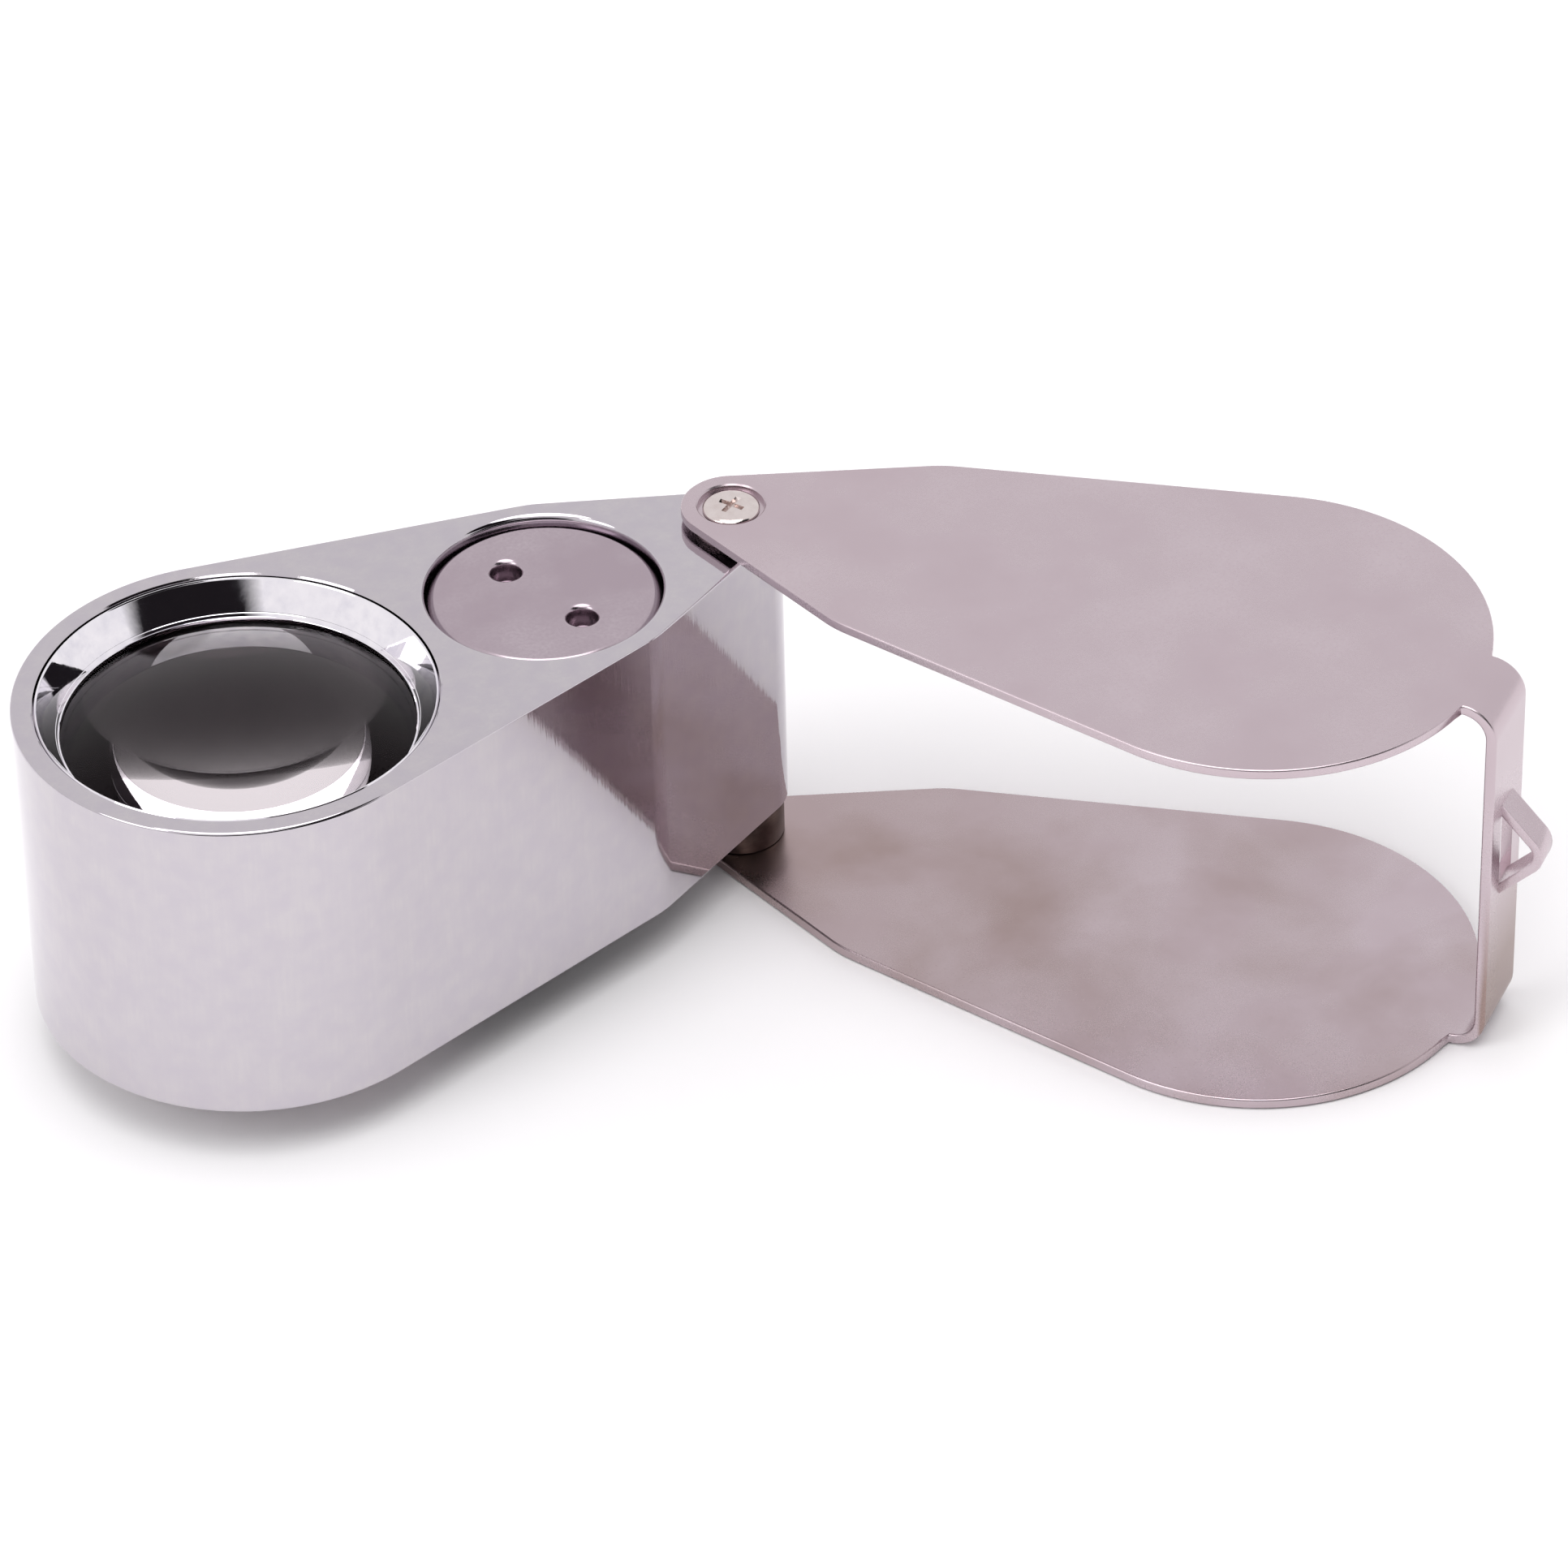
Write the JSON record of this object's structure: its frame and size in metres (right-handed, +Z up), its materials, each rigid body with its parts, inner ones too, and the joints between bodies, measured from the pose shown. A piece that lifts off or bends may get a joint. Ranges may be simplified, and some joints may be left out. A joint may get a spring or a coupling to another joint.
{
  "type": "folding illuminated hand lens",
  "caption": "Pocket hand lens: teardrop metal housing with a domed doublet lens, battery lamp and slide switch, swinging out of a bent sheet-metal cover with a lanyard loop.",
  "frame": {"origin": "under the middle of the open tool, on the surface that the cover's lower plate lies on", "axes": "+X along the housing from its lens to its pivot, +Z up along the pivot axis"},
  "size_m": [0.0958, 0.0662, 0.0301],
  "materials": {
    "satin_chrome": "satin, fine upright brushing on the sides",
    "bright_chrome": "mirror bright",
    "lens_glass": "polished",
    "black_anodised": "matt black",
    "satin_nickel": "satin",
    "cell_steel": "satin",
    "black_plastic": "matt",
    "spring_bronze": "bright",
    "green_board": "solder mask",
    "resistor_body": "matt",
    "lamp_clear": "clear moulded",
    "polished_nickel": "polished",
    "turned_brass": "turned",
    "dark_steel": "darkened"
  },
  "bodies": {
    "housing": {"housing": "satin_chrome", "lens_retaining_ring": "bright_chrome", "eye_lens": "lens_glass", "lens_spacer_ring": "black_anodised", "field_lens": "lens_glass", "battery_cap": "satin_nickel", "upper_coin_cell": "cell_steel", "lower_coin_cell": "cell_steel", "cell_cup": "black_plastic", "cell_spring": "spring_bronze", "circuit_board": "green_board", "resistor": "resistor_body", "body_contact": "spring_bronze", "left_lamp": "lamp_clear", "right_lamp": "lamp_clear", "switch_body": "black_plastic", "lamp_cover": "black_plastic", "lamp_cover_screw_front": "polished_nickel", "lamp_cover_screw_rear": "polished_nickel", "pivot_bush": "turned_brass", "upper_washer": "polished_nickel", "lower_spacer": "dark_steel", "lower_pivot_screw": "polished_nickel", "upper_pivot_screw": "polished_nickel"},
    "cover": {"swing_cover": "satin_nickel"},
    "switch": {"switch_knob": "black_plastic"}
  },
  "joints": [
    {"name": "cover_swing", "type": "hinge", "parent": "housing", "child": "cover", "pos_m": [0.00766, 0.01731, 0.01505], "axis": [0, 0, 1], "continuous": true},
    {"name": "switch_slide", "type": "slide", "parent": "housing", "child": "switch", "axis": [-0.9716, 0.2365, 0], "range_m": [0, 0.002]}
  ]
}
